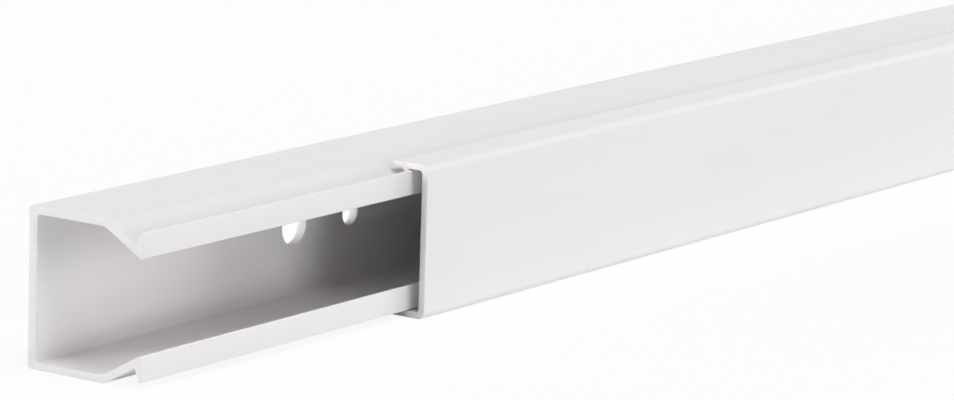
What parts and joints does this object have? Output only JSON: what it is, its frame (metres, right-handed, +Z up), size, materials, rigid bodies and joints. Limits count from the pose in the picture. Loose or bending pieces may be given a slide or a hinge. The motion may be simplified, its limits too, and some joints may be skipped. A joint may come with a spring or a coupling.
{
  "type": "cable trunking",
  "caption": "Square white PVC cable trunking lying on its side: a channel with in-turned lips and fixing holes in its back, and a clip-on lid drawn back from one end.",
  "frame": {"origin": "on the floor, under the middle of the whole part's length and depth", "axes": "+X along the length, away from the end that the lid leaves open; +Y out of the back, towards the wall; +Z up, across the trunking's width"},
  "size_m": [2.107, 0.04, 0.04],
  "materials": {
    "channel": "satin",
    "lid": "satin"
  },
  "bodies": {
    "channel": {"base_channel": "channel"},
    "lid": {"lid": "lid"}
  },
  "joints": [
    {"name": "lid_slide", "type": "slide", "parent": "channel", "child": "lid", "axis": [1, 0, 0], "range_m": [-0.107, 0.393]}
  ]
}
